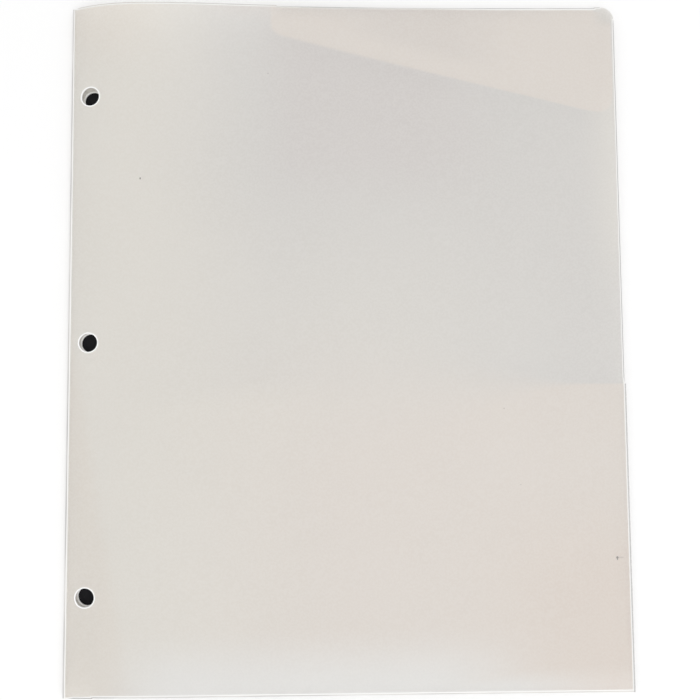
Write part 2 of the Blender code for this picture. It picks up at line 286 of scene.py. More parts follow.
class FolderFinishAndLight(bpy.types.PropertyGroup):
    """Colours and surface of the milky sheet, and the light and shade painted into its covers' colours."""

    sheet_colour: colour("Sheet", "A layer of sheet inside the folder", (0.745, 0.725, 0.685))
    # Painted shade: the greyer tone of a cover where nothing lies close behind it to send light back
    clear_shade_colour: colour("Clear zone", "Cover with nothing close behind it", (0.815, 0.800, 0.787))
    # Painted light: the warmer, paler tone where a pocket lies against the cover's back
    backed_light_colour: colour("Backed zone", "Cover with a pocket against its back", (0.905, 0.842, 0.792))
    # Painted light: the paler tone where the tab lies against the cover's back
    tab_light_colour: colour("Tab zone", "Cover with the tab against its back", (0.925, 0.862, 0.812))
    # Painted light: warmer over the pocket's lower outer corner
    warm_light_colour: colour("Warm zone", "Cover over the pocket's lower outer corner", (0.895, 0.800, 0.735))
    # Painted shade: greyer over the tab's middle, which stands off the cover, and along the top edge
    gap_shade_colour: colour("Gap zone", "Cover over the tab's middle, which stands off", (0.825, 0.775, 0.745))
    shade_colour: colour("Shade zone", "Cover below the tab's slanted edge", (0.797, 0.764, 0.757))
    # Painted light: paler near the spine, where the cover stands high, and near the pocket's mouth and the
    # open edge
    spine_light_colour: colour("Spine zone", "Cover near the spine, where it stands high", (0.922, 0.893, 0.837))
    # Painted shade: a darker, warmer strip beside the score past the pocket, and at the top near the spine
    strip_shade_colour: colour("Spine strip", "Cover beside the score, past the pocket", (0.905, 0.855, 0.790))
    # Painted light: paler over the doubled bottom fold, palest along it, and warmer towards the open edge
    fold_light_colour: colour("Fold zone", "Cover above the doubled bottom fold", (0.975, 0.975, 0.970))
    warm_fold_light_colour: colour("Fold's outer end", "The same near the open edge", (0.985, 0.905, 0.850))
    # Painted shade: greyer at the free top corner past the tab's crease, where it bends away
    corner_shade_colour: colour("Free corner", "Cover past the tab's crease, unbacked", (0.79, 0.775, 0.75))
    # Whitened plastic with a painted highlight: the pale band inside cut edges and where creases start to
    # turn
    whitened_and_highlight_colour: colour("Whitened band", "Plastic whitened by cutting or creasing", (0.93, 0.925, 0.91))
    # Whitened plastic with a painted highlight round a punched hole
    ring_whitened_and_highlight_colour: colour("Hole ring", "Plastic whitened by punching a hole", (0.985, 0.985, 0.975))
    # Painted shade: the grey line on a cut edge and where a crease turns edge on
    edge_shade_colour: colour("Edge", "The sheet seen edge on", (0.50, 0.495, 0.49))
    crease_colour: colour("Crease", "Plastic whitened by creasing", (0.84, 0.83, 0.80))
    weld_colour: colour("Weld", "Plastic melted along a sealed edge", (0.56, 0.555, 0.545))
    speck_colour: colour("Specks", "Dust and scuffs", (0.22, 0.20, 0.19))
    passed_colour: colour("Passed light", "Light that has come through the front cover", (0.97, 0.96, 0.94))
    passed_share: share("Passed share", "How much light each face of the front cover lets through", 0.43)
    roughness: share("Roughness", "Of the matte sheet", 0.46)
    crease_roughness: share("Crease roughness", "Of creased plastic", 0.34)
    weld_roughness: share("Weld roughness", "Of melted plastic", 0.28)
    grain: length("Grain", "Size of the matte grain", 0.0004)
    grain_depth: length("Grain depth", "Depth of the matte grain", 0.000012)
    mottle: length("Mottle", "Size of the milky mottle", 0.0009)


class FolderStage(bpy.types.PropertyGroup):
    """Camera, lamp, floor and pad."""

    camera_place: place("Camera place", "Where the camera stands", (-0.00036, -0.03102, 0.38))
    camera_turn: turn("Camera turn", "How the camera is turned", (0.073225, -0.003563, -0.008074))
    camera_lens: lens("Lens", "Focal length on a 36 mm sensor", 44.888)
    key_place: place("Key lamp place", "Where the large soft lamp hangs", (0.25, -0.35, 1.50))
    key_size: length("Key lamp size", "Side of the large soft lamp", 1.3)
    key_power: power("Key lamp power", "Power of the large soft lamp", 9.0)
    fill_light: share("Fill light", "Even light from all round", 0.75)
    floor_colour: colour("Floor", "Plain pale floor", (0.99, 0.99, 0.99))
    pad_colour: colour("Pad", "Dark pad under the folder, seen through its holes", (0.018, 0.018, 0.020))
    pad_inset: length("Pad inset", "How far the pad stays inside the folder's outline", 0.004)


def eased(part):
    """A smooth step from 0 to 1, level outside that range."""
    part = min(max(part, 0.0), 1.0)
    return part * part * (3 - 2 * part)


def slopes(height, s, y):
    """How steeply a sheet rises across the page and up it."""
    lean = height(s + slope_step, y) - height(s - slope_step, y)
    climb = height(s, y + slope_step) - height(s, y - slope_step)
    return lean / (2 * slope_step), climb / (2 * slope_step)


class Layout:
    """Places and surfaces that follow from the folder's sizes."""

    def __init__(self, sizes):
        self.sizes = sizes
        self.layer = sizes.sheet + sizes.clearance
        self.back_cover_level = sizes.sheet / 2
        self.back_pocket_level = self.back_cover_level + self.layer
        self.front_pocket_level = self.back_pocket_level + self.layer
        self.front_cover_level = self.front_pocket_level + self.layer
        self.turn_radius = self.layer / 2
        self.bead_radius = self.turn_radius + sizes.sheet / 2
        self.score_reach = sizes.sheet / 2 + sizes.clearance
        self.score_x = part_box("back_score")[0].x + sizes.sheet / 2
        self.top_y = sizes.cover_height / 2
        self.bottom_y = -sizes.cover_height / 2
        self.pocket_fold_y = self.bottom_y + self.bead_radius
        self.pocket_top_y = self.bottom_y + sizes.pocket_height
        self.tab_fold_y = self.top_y - sizes.tab_recess - self.bead_radius
        self.tab_edge_y = self.tab_fold_y - self.bead_radius - sizes.clearance
        self.tab_end = sizes.cover_width - sizes.tab_fold_margin
        self.tab_outer = sizes.cover_width - sizes.tab_side_margin
        self.tab_inner = sizes.tab_start - sizes.tab_flare
        self.back_score_z = self.back_cover_level
        self.front_score_z = self.back_score_z + sizes.spine_width

    def front_cover(self, s, y):
        """Height of the front cover's middle surface."""
        sizes = self.sizes
        drop = self.front_cover_level - self.front_score_z
        straight = self.front_score_z + drop * s / sizes.cover_width
        up = 2 * y / sizes.cover_height
        end = sizes.bow_top if up > 0 else sizes.bow_bottom
        bow = sizes.bow_middle + (end - sizes.bow_middle) * up * up
        bow *= s / sizes.bow_peak * math.exp(1 - s / sizes.bow_peak)
        nearness = math.exp(-(((y - self.pocket_top_y) / sizes.swell_reach) ** 2))
        return straight + bow + sizes.swell_height * math.sin(math.pi * s / sizes.cover_width) * nearness

    def front_tab(self, s, y):
        return self.front_cover(s, y) - self.layer

    def front_pocket(self, s, y):
        """It follows its cover at the seal and fold and hangs onto the back pocket elsewhere."""
        held = self.front_cover(s, y) - self.layer
        across = eased((self.sizes.cover_width - s) / self.sizes.hang_width)
        up = eased((y - self.pocket_fold_y) / self.sizes.hang_rise)
        return held + (self.front_pocket_level - held) * across * up

    def back_cover(self, s, y):
        return self.back_cover_level

    def back_pocket(self, s, y):
        """The back pocket and the back tab lie level on the back cover."""
        return self.back_pocket_level

    def bent(self, point, height):
        """A point of a flat blank carried onto a bent sheet, with its offset kept square to the sheet."""
        s, y, offset = point
        lean, climb = slopes(height, s, y)
        normal = Vector((-lean, -climb, 1)).normalized()
        return Vector((self.score_x + s, y, height(s, y))) + normal * offset

    def turned(self, point, fold_y, upper, outwards):
        """A point (s, part of the turn, offset) of a strip that turns back on itself at fold_y."""
        s, part, offset = point
        angle = math.pi * part
        radius = self.turn_radius + offset
        middle = upper(s, fold_y) - self.turn_radius
        y = fold_y + outwards * radius * math.sin(angle)
        return Vector((self.score_x + s, y, middle + radius * math.cos(angle)))

    def scored(self, point, cover, score_z, side):
        """A point (part of the turn, y, offset) of a strip that rounds the corner from spine to cover."""
        part, y, offset = point
        reach = self.score_reach
        height = cover(reach, y)
        lean = slopes(cover, reach, y)[0]
        from_spine = Vector((0, 0, score_z - side * reach))
        corner = Vector((0, 0, height - lean * reach))
        first = corner - from_spine
        last = Vector((reach, 0, height)) - corner
        spot = from_spine + first * (2 * part - part * part) + last * (part * part)
        along = first * (1 - part) + last * part
        outwards = Vector((-along.z, 0, along.x)).normalized() * side
        return Vector((self.score_x, y, 0)) + spot + outwards * offset

    def cover_outline(self):
        """Corners (s, y, radius) of a cover, set back where its pocket and tab fold over."""
        sizes = self.sizes
        return [
            (self.score_reach, self.bottom_y, 0),
            (sizes.pocket_setback, self.bottom_y, 0),
            (sizes.pocket_setback, self.pocket_fold_y, 0),
            (sizes.cover_width, self.pocket_fold_y, 0),
            (sizes.cover_width, self.top_y, sizes.corner_radius),
            (self.tab_end, self.top_y, 0),
            (self.tab_end, self.tab_fold_y, 0),
            (sizes.tab_start, self.tab_fold_y, 0),
            (sizes.tab_start, self.top_y, 0),
            (self.score_reach, self.top_y, 0),
        ]

    def cover_holes(self):
        sizes = self.sizes
        return [(sizes.hole_inset, sizes.hole_raise + sizes.hole_pitch * number) for number in (-1, 0, 1)]

    def pocket_outline(self):
        """Corners of a pocket, which leans away from the spine and keeps clear of the ring holes."""
        sizes = self.sizes
        return [
            (sizes.pocket_setback, self.pocket_fold_y, 0),
            (sizes.cover_width, self.pocket_fold_y, 0),
            (sizes.cover_width, self.pocket_top_y, 0),
            (sizes.pocket_setback + sizes.pocket_lean, self.pocket_top_y, sizes.pocket_corner),
        ]

    def tab_outline(self):
        """Corners of a tab, folded in: shallow towards the spine and deep towards the open edge."""
        sizes = self.sizes
        return [
            (self.tab_inner, self.tab_fold_y - sizes.tab_short_side, sizes.tab_inner_radius),
            (self.tab_outer, self.tab_fold_y - sizes.tab_long_side, sizes.tab_outer_radius),
            (self.tab_outer, self.tab_edge_y, sizes.corner_radius),
            (self.tab_end, self.tab_edge_y, 0),
            (self.tab_end, self.tab_fold_y, 0),
            (sizes.tab_start, self.tab_fold_y, 0),
            (self.tab_inner, self.tab_edge_y - sizes.tab_flare_drop, 0),
        ]


def round_corner(form, corner, before, after, radius):
    """Round one corner of a flat face to a radius."""
    half_angle = (before - corner.co).angle(after - corner.co) / 2
    bmesh.ops.bevel(
        form,
        geom=[corner],
        offset=radius / math.tan(half_angle),
        offset_type="OFFSET",
        affect="VERTICES",
        segments=corner_segments,
        profile=0.5,
        material=-1,
    )


def everything(form):
    return form.verts[:] + form.edges[:] + form.faces[:]


def divide(form, axis, step):
    """Cut a form along an axis into even lengths of about a step."""
    low = min(vert.co[axis] for vert in form.verts)
    high = max(vert.co[axis] for vert in form.verts)
    count = max(1, round((high - low) / step))
    normal = Vector((0, 0, 0))
    normal[axis] = 1
    for number in range(1, count):
        spot = normal * (low + (high - low) * number / count)
        bmesh.ops.bisect_plane(form, geom=everything(form), dist=same_place, plane_co=spot, plane_no=normal)


def draw_out(form, run):
    """Draw a flat form out to a solid."""
    raised = bmesh.ops.extrude_face_region(form, geom=form.faces[:])
    lifted = [item for item in raised["geom"] if isinstance(item, bmesh.types.BMVert)]
    bmesh.ops.translate(form, vec=run, verts=lifted)


def ring_edges(verts):
    return list({edge for vert in verts for edge in vert.link_edges})


def on_seam(spot, seams):
    return any(abs(spot[axis] - line) < same_line for axis, line in seams)


def die_cut(sizes, outline, holes, seams, outer_side, seal_top):
    """A flat blank of the sheet's thickness, with round holes and with its cut edges marked and rounded.

    A seam is (axis, place): edges there go on into a crease or seal, so they stay square. Below seal_top
    the open edge is sealed. The blank carries three values: rim, which is 1 on a cut edge, punched, which
    is 1 on the edge of a hole, and outer, which is 1 on the face that shows when the folder is closed.
    """
    form = bmesh.new()
    form.verts.layers.float.new("rim")
    punched = form.verts.layers.float.new("punched")
    outer = form.verts.layers.float.new("outer")
    corners = [form.verts.new((s, y, 0)) for s, y, radius in outline]
    spots = [corner.co.copy() for corner in corners]
    form.faces.new(corners)
    for index, (s, y, radius) in enumerate(outline):
        if radius > 0:
            round_corner(form, corners[index], spots[index - 1], spots[(index + 1) % len(spots)], radius)
    band = bmesh.ops.inset_region(
        form, faces=form.faces[:], thickness=sizes.rim_width, use_boundary=True, use_even_offset=True
    )
    middle = next(face for face in form.faces if face not in band["faces"])
    fill_edges = middle.edges[:]
    bmesh.ops.delete(form, geom=[middle], context="FACES_ONLY")
    for s, y in holes:
        spot = Matrix.Translation((s, y, 0))
        radius = sizes.hole_diameter / 2
        edge = bmesh.ops.create_circle(form, radius=radius, segments=hole_segments, matrix=spot)
        for vert in edge["verts"]:
            vert[punched] = 1.0
        around = bmesh.ops.create_circle(
            form, radius=radius + sizes.rim_width, segments=hole_segments, matrix=spot
        )
        around_edges = ring_edges(around["verts"])
        bmesh.ops.bridge_loops(form, edges=ring_edges(edge["verts"]) + around_edges)
        fill_edges += around_edges
    bmesh.ops.triangle_fill(form, edges=fill_edges, use_beauty=True, normal=(0, 0, 1))
    mark_outline(form, sizes, outline, seams, seal_top)
    divide(form, 0, sizes.cell)
    divide(form, 1, sizes.cell)
    mark_outline(form, sizes, outline, seams, seal_top)
    draw_out(form, (0, 0, sizes.sheet))
    bmesh.ops.translate(form, vec=(0, 0, -sizes.sheet / 2), verts=form.verts)
    bmesh.ops.recalc_face_normals(form, faces=form.faces)
    for vert in form.verts:
        vert[outer] = 1.0 if vert.co.z * outer_side > 0 else 0.0
    bmesh.ops.bevel(
        form,
        geom=cut_edges(form, seams),
        offset=sizes.edge_round,
        offset_type="OFFSET",
        affect="EDGES",
        segments=edge_segments,
        profile=0.5,
        material=-1,
        clamp_overlap=True,
    )
    return form


def mark_outline(form, sizes, outline, seams, seal_top):
    """Set the rim value: full on a cut edge, none round a corner and little along a crease or seal."""
    rim = form.verts.layers.float["rim"]
    punched = form.verts.layers.float["punched"]
    near, far = rounded_rim
    for vert in form.verts:
        if not vert.is_boundary or vert[punched] > 0:
            continue
        sealed = abs(vert.co.x - sizes.cover_width) < same_place and vert.co.y < seal_top
        vert[rim] = joined_rim if sealed or on_seam(vert.co, seams) else 1.0
        for s, y, radius in outline:
            if radius > 0:
                apart = math.hypot(vert.co.x - s, vert.co.y - y) / radius
                vert[rim] *= eased((apart - near) / (far - near))


def cut_edges(form, seams):
    """Edges between a face of the sheet and its side wall, apart from those along a seam."""
    found = []
    for edge in form.edges:
        level = abs(edge.verts[0].co.z - edge.verts[1].co.z) < same_place
        if not level or edge.calc_face_angle(0) < cut_above:
            continue
        if not any(all(on_seam(vert.co, [seam]) for vert in edge.verts) for seam in seams):
            found.append(edge)
    return found


def strip(sizes, low, high, steps, turn_of=None):
    """A straight blank strip between two corners of its own drawing, with the sheet's thickness in z.

    Where turn_of is given, the strip carries the value turn: 0 at the cover and 1 at the inner layer.
    """
    form = bmesh.new()
    bmesh.ops.create_cube(form, size=1)
    size = (high[0] - low[0], high[1] - low[1], sizes.sheet)
    bmesh.ops.scale(form, vec=size, verts=form.verts)
    bmesh.ops.translate(form, vec=((low[0] + high[0]) / 2, (low[1] + high[1]) / 2, 0), verts=form.verts)
    divide(form, 0, steps[0])
    divide(form, 1, steps[1])
    if turn_of is not None:
        turned_part = form.verts.layers.float.new("turn")
        for vert in form.verts:
            vert[turned_part] = turn_of(vert.co)
    return form


def put(name, data):
    """An object of that name, put in the scene."""
    made = bpy.data.objects.new(name, data)
    bpy.context.scene.collection.objects.link(made)
    return made


def put_form(form, name, material):
    """Make a form an object of that name and give it its material."""
    mesh = bpy.data.meshes.new(name)
    form.to_mesh(mesh)
    form.free()
    mesh.materials.append(material)
    return put(name, mesh)


def finish_piece(form, name, move, material):
    """Bend a blank and make it a smooth piece."""
    for vert in form.verts:
        vert.co = move(vert.co)
    bmesh.ops.recalc_face_normals(form, faces=form.faces)
    piece = put_form(form, name, material)
    piece.data.shade_smooth()
    piece.data.set_sharp_from_angle(angle=smooth_below)
    return piece


class Wiring:
    """Short ways to add and join the nodes of a material or of the surroundings."""

    def __init__(self, owner):
        owner.use_nodes = True
        self.tree = owner.node_tree
        self.tree.nodes.clear()

    def node(self, kind, inputs=(), **settings):
        """Add a node with its settings, and feed its inputs, which are given by name or number."""
        made = self.tree.nodes.new(kind)
        for name, value in settings.items():
            setattr(made, name, value)
        for name, value in dict(inputs).items():
            self.feed(made.inputs[name], value)
        return made

    def feed(self, socket, value):
        """Join a value to a socket, whether it is another node's output, a number or a colour."""
        if isinstance(value, bpy.types.NodeSocket):
            self.tree.links.new(value, socket)
        elif socket.type == "RGBA":
            socket.default_value = (*value, 1.0)
        else:
            socket.default_value = value

    def sum(self, operation, *values):
        """One step of arithmetic, by its name in Blender."""
        return self.node("ShaderNodeMath", enumerate(values), operation=operation).outputs[0]

    def minus(self, first, second):
        return self.sum("SUBTRACT", first, second)

    def times(self, first, *others):
        for other in others:
            first = self.sum("MULTIPLY", first, other)
        return first

    def most(self, first, *others):
        for other in others:
            first = self.sum("MAXIMUM", first, other)
        return first

    def ramp(self, value, low, high, start=0.0, end=1.0):
        """A smooth step from start to end as value goes from low to high."""
        inputs = {"Value": value, "From Min": low, "From Max": high, "To Min": start, "To Max": end}
        return self.node("ShaderNodeMapRange", inputs, interpolation_type="SMOOTHSTEP").outputs["Result"]

    def mix(self, part, first, second):
        """A mix of two colours, whose sockets come after those for numbers and directions."""
        return self.node("ShaderNodeMix", {0: part, 6: first, 7: second}, data_type="RGBA").outputs[2]

    def place(self):
        return self.node("ShaderNodeTexCoord").outputs["Object"]

    def on_sheet(self, spot, score_x):
        """How far a place lies across from the score, and up the page."""
        axes = self.node("ShaderNodeSeparateXYZ", {0: spot}).outputs
        return self.minus(axes["X"], score_x), axes["Y"]

    def noise(self, vector, size, detail=2.0, roughness=0.5):
        """Cloudy noise whose lumps are about size across."""
        inputs = {"Vector": vector, "Scale": 1 / size, "Detail": detail, "Roughness": roughness}
        return self.node("ShaderNodeTexNoise", inputs).outputs[0]

    def stretched(self, vector, scale):
        """The same coordinates, squeezed along some axes so that a pattern runs long."""
        return self.node("ShaderNodeMapping", {"Vector": vector, "Scale": scale}).outputs[0]

    def value(self, name):
        return self.node("ShaderNodeAttribute", attribute_name=name).outputs["Fac"]

    def bump(self, height, depth, before=None):
        inputs = {"Height": height, "Distance": depth}
        if before is not None:
            inputs["Normal"] = before
        return self.node("ShaderNodeBump", inputs).outputs[0]

    def plastic(self, base, roughness, normal):
        """A plastic surface that lets no light through."""
        inputs = {"Base Color": base, "Roughness": roughness, "Normal": normal, "IOR": plastic_ior}
        return self.node("ShaderNodeBsdfPrincipled", inputs).outputs[0]

    def milky(self, surface, normal, passed_colour, passed_share):
        """The same surface with a share of the light that comes through from behind."""
        passed = self.node("ShaderNodeBsdfTranslucent", {"Color": passed_colour, "Normal": normal})
        inputs = {0: passed_share, 1: surface, 2: passed.outputs[0]}
        return self.node("ShaderNodeMixShader", inputs).outputs[0]

    def done(self, surface, output="ShaderNodeOutputMaterial"):
        self.node(output, {"Surface": surface})


def grained(wiring, spot, finish):
    """The sheet's matte surface: a fine grain over a very slight waviness."""
    slow = wiring.bump(wiring.noise(spot, wave_size, soft_detail), wave_depth)
    fine = wiring.noise(spot, finish.grain, fine_detail, grain_roughness)
    return fine, wiring.bump(fine, finish.grain_depth, slow)


def mottled(wiring, spot, base, finish):
    """The base colour with the faint mottle of a milky sheet, fine and cloudy."""
    fine = wiring.noise(spot, finish.mottle)
    cloud = wiring.noise(spot, cloud_size)
    darker = wiring.mix(mottle_dark, base, black)
    paler = wiring.mix(mottle_pale, base, white)
    mixed = wiring.mix(wiring.ramp(fine, *mottle_part), paler, darker)
    return wiring.mix(wiring.ramp(cloud, *cloud_part, 0.0, cloud_share), mixed, paler)


def uneven(wiring, pattern, middle, spread):
    """A roughness that rises and falls with a pattern."""
    low, high = spread
    return wiring.ramp(pattern, *rough_part, middle + low, middle + high)


def zone(wiring, s, y, across=(), up=(), share=1.0):
    """Where a place lies past every step across and up: share there and 0 elsewhere."""
    steps_across = [wiring.ramp(s, *step) for step in across]
    steps_up = [wiring.ramp(y, *step) for step in up]
    return wiring.times(*steps_across, *steps_up, share)


def cut_marks_and_edge_light(wiring, base, finish, plain=0.0, drawn=1.0):
    """Marks of cutting with painted light and shade: a whitened band with a painted highlight inside a cut
    edge, a line of painted shade on it, and whitened rings with a painted highlight round holes.
    """
    rim = wiring.value("rim")
    band = wiring.times(
        wiring.ramp(rim, *band_start), wiring.ramp(rim, *band_end), wiring.minus(1.0, plain)
    )
    ring = wiring.ramp(wiring.value("punched"), *ring_start)
    line = wiring.times(wiring.ramp(rim, *line_start), drawn)
    base = wiring.mix(band, base, finish.whitened_and_highlight_colour)
    base = wiring.mix(ring, base, finish.ring_whitened_and_highlight_colour)
    base = wiring.mix(line, base, finish.edge_shade_colour)
    return base, wiring.most(band, ring, line)


def marked(wiring, s, y, base, finish):
    """The front cover's dust specks and its one scuff near the open edge, which let no light through."""
    dirt = 0.0
    for across, up, half_width, half_height, strength in use_marks:
        aside = wiring.sum("DIVIDE", wiring.minus(s, across), half_width)
        above = wiring.sum("DIVIDE", wiring.minus(y, up), half_height)
        squares = wiring.sum("MULTIPLY_ADD", aside, aside, wiring.times(above, above))
        mark = wiring.ramp(wiring.sum("SQRT", squares), *mark_fade, strength, 0.0)
        base = wiring.mix(mark, base, finish.speck_colour)
        dirt = wiring.most(dirt, mark)
    return base, dirt


def tab_backing(wiring, s, y, layout):
    """Where the tab lies behind a cover, as the mask of the painted light that it sends back through the
    cover: 1 there and 0 elsewhere, and how far in from its slanted edge.
    """
    sizes = layout.sizes
    low = Vector((layout.tab_inner, layout.tab_fold_y - sizes.tab_short_side))
    run = Vector((layout.tab_outer, layout.tab_fold_y - sizes.tab_long_side)) - low
    run.normalize()
    above = wiring.sum("MULTIPLY_ADD", s, -run.y, wiring.times(y, run.x))
    above = wiring.minus(above, low.y * run.x - low.x * run.y)
    from_top = wiring.most(wiring.minus(layout.tab_end, s), wiring.minus(layout.tab_edge_y, y))
    edges = (
        (wiring.minus(s, layout.tab_inner), sizes.tab_inner_radius),
        (wiring.minus(layout.tab_outer, s), sizes.tab_outer_radius),
        (from_top, sizes.corner_radius),
    )
    inside = above
    for edge, radius in edges:
        inside = wiring.sum("SMOOTH_MIN", inside, edge, smooth_per_radius * radius)
    blur = wiring.ramp(s, layout.tab_inner, layout.tab_outer, *tab_blur)
    return wiring.ramp(inside, wiring.times(blur, -1.0), blur), above


def pocket_backing(wiring, s, y, layout):
    """Where the pocket lies behind a cover, as the mask of the painted light that it sends back through the
    cover: sharp near the open edge and blurred where it stands off.
    """
    below = wiring.minus(layout.pocket_top_y, y)
    blur = wiring.ramp(s, *pocket_blur_across, *pocket_blur)
    reach = wiring.ramp(below, wiring.times(blur, -1.0), blur)
    return wiring.times(reach, wiring.ramp(s, *pocket_zone_across))


def cover_painted_light(wiring, s, y, finish, layout):
    """A cover's colour with painted light and shade for what lies behind it and how it stands: painted
    shade, greyer, over a gap, and painted light, warmer, over a layer.
    """

    def within(steps):
        return zone(wiring, s, y, **steps)

    # Painted light near the spine, the pocket's mouth and the open edge
    spine_end = wiring.ramp(y, *spine_reach_up, *spine_reach)
    by_spine = wiring.ramp(s, spine_zone_start, spine_end, 1.0, 0.0)
    glow = zone(wiring, s, wiring.minus(layout.pocket_top_y, y), **glow_zone)
    near = wiring.most(within(mouth_zone), within(open_edge_zone), by_spine, glow)
    near = wiring.times(near, wiring.minus(1.0, within(high_zone)))
    # Painted shade beside the score
    beside = wiring.minus(wiring.sum("MULTIPLY_ADD", y, strip_slant, strip_offset), s)
    beside = wiring.ramp(beside, -strip_blur, strip_blur)
    tab, depth = tab_backing(wiring, s, y, layout)
    gap = wiring.times(within(tab_gap_zone), wiring.ramp(depth, *tab_gap_depth))
    over_tab = wiring.mix(gap, finish.tab_light_colour, finish.gap_shade_colour)
    to_side = wiring.minus(layout.sizes.cover_width, s)
    to_top = wiring.minus(layout.top_y, y)
    raised = wiring.minus(y, layout.bottom_y)
    # Painted light over the doubled bottom fold
    by_fold = wiring.most(zone(wiring, s, raised, **fold_zone), zone(wiring, s, raised, **fold_line_zone))
    over_fold = wiring.mix(wiring.ramp(s, *warm_fold_across), finish.fold_light_colour, finish.warm_fold_light_colour)
    # Painted light and shade, each mixed in turn over the clear zone's painted shade
    looks = (
        (within(shade_zone), finish.shade_colour),
        (near, finish.spine_light_colour),
        (wiring.most(beside, within(top_strip_zone)), finish.strip_shade_colour),
        (pocket_backing(wiring, s, y, layout), finish.backed_light_colour),
        (within(warm_zone), finish.warm_light_colour),
        (tab, over_tab),
        (within(top_shade_zone), finish.gap_shade_colour),
        (zone(wiring, to_side, to_top, **corner_zone), finish.corner_shade_colour),
        (by_fold, over_fold),
    )
    base = finish.clear_shade_colour
    for part, look in looks:
        base = wiring.mix(part, base, look)
    return base


def sheet_material(wiring, finish):
    """Milky sheet, as pockets, tabs and the spine show it."""
    spot = wiring.place()
    fine, normal = grained(wiring, spot, finish)
    base = mottled(wiring, spot, finish.sheet_colour, finish)
    # Whitening with a painted highlight along cut edges and round holes, and a painted shade line on the
    # edges
    base = cut_marks_and_edge_light(wiring, base, finish)[0]
    rough = uneven(wiring, fine, finish.roughness, sheet_spread)
    wiring.done(wiring.plastic(base, rough, normal))


def cover_material(wiring, finish, layout, lit_through):
    """Milky sheet, as a cover shows it, with painted light and shade on its outer face. Only the front one
    is lit through and carries the marks of use.
    """
    spot = wiring.place()
    s, y = wiring.on_sheet(spot, layout.score_x)
    fine, normal = grained(wiring, spot, finish)
    # The outer face's colour, with its painted light and shade
    outside = cover_painted_light(wiring, s, y, finish, layout)
    if lit_through:
        outside, dirt = marked(wiring, s, y, outside, finish)
    base = wiring.mix(wiring.value("outer"), finish.sheet_colour, outside)
    base = mottled(wiring, spot, base, finish)
    plain = zone(wiring, s, y, **plain_crease_zone)
    drawn = wiring.ramp(y, *faint_line_up, 1.0, faint_line_share)
    # Whitening with a painted highlight along cut edges and round holes, and a painted shade line on the
    # edges
    base, opaque = cut_marks_and_edge_light(wiring, base, finish, plain, drawn)
    rough = uneven(wiring, fine, finish.roughness, sheet_spread)
    surface = wiring.plastic(base, rough, normal)
    if lit_through:
        share_left = wiring.ramp(wiring.most(opaque, dirt), 0.0, 1.0, finish.passed_share, 0.0)
        surface = wiring.milky(surface, normal, finish.passed_colour, share_left)
    wiring.done(surface)


def crease_material(wiring, finish, layout):
    """Plastic whitened with a painted highlight and smoothed where it starts to turn, and greyer with
    painted shade where it is seen edge on.
    """
    spot = wiring.place()
    s, y = wiring.on_sheet(spot, layout.score_x)
    lines = wiring.noise(wiring.stretched(spot, crease_stretch), crease_line, fine_detail)
    cloud = wiring.noise(spot, crease_cloud)
    lumps = wiring.noise(spot, grey_lump, soft_detail)
    part = wiring.value("turn")
    started = wiring.ramp(part, *turn_start)
    # Painted shade where the turn is seen edge on, in lumps, and kept off the pale end
    grey = wiring.times(
        started,
        wiring.ramp(part, *grey_turn_end),
        wiring.ramp(lumps, *grey_lump_part, *grey_lump_share),
        wiring.minus(1.0, zone(wiring, s, y, **pale_end_zone)),
    )
    lined = wiring.minus(1.0, zone(wiring, s, y, **plain_crease_zone))
    # Whitening with a painted highlight where the turn starts, left off the plain part of the top crease
    pale = wiring.times(wiring.minus(1.0, started), lined)
    base = wiring.mix(wiring.ramp(cloud, *crease_cloud_part), finish.crease_colour, finish.sheet_colour)
    base = wiring.mix(grey, base, finish.edge_shade_colour)
    base = wiring.mix(pale, base, finish.whitened_and_highlight_colour)
    rough = uneven(wiring, lines, finish.crease_roughness, crease_spread)
    wiring.done(wiring.plastic(base, rough, wiring.bump(lines, crease_depth)))


def weld_material(wiring, finish):
    """Plastic melted along a sealed edge, smoother and slightly clearer than the sheet."""
    wave = wiring.noise(wiring.stretched(wiring.place(), weld_stretch), weld_wave)
    clear = tuple(part * weld_dark for part in finish.weld_colour)
    base = wiring.mix(wiring.ramp(wave, *weld_wave_part), finish.weld_colour, clear)
    rough = uneven(wiring, wave, finish.weld_roughness, weld_spread)
    wiring.done(wiring.plastic(base, rough, wiring.bump(wave, weld_depth)))


def floor_material(wiring, shade):
    """A matte sheet with a very faint cloudiness."""
    cloud = wiring.noise(wiring.place(), floor_cloud)
    darker = tuple(part * floor_dark for part in shade)
    matte = wiring.node("ShaderNodeBsdfDiffuse", {"Color": wiring.mix(cloud, shade, darker)})
    wiring.done(matte.outputs[0])


def once(name, make, *given):
    """A material by name, made the first time that it is asked for."""
    material = bpy.data.materials.get(name)
    if material is None:
        material = bpy.data.materials.new(name)
        make(Wiring(material), *given)
    return material


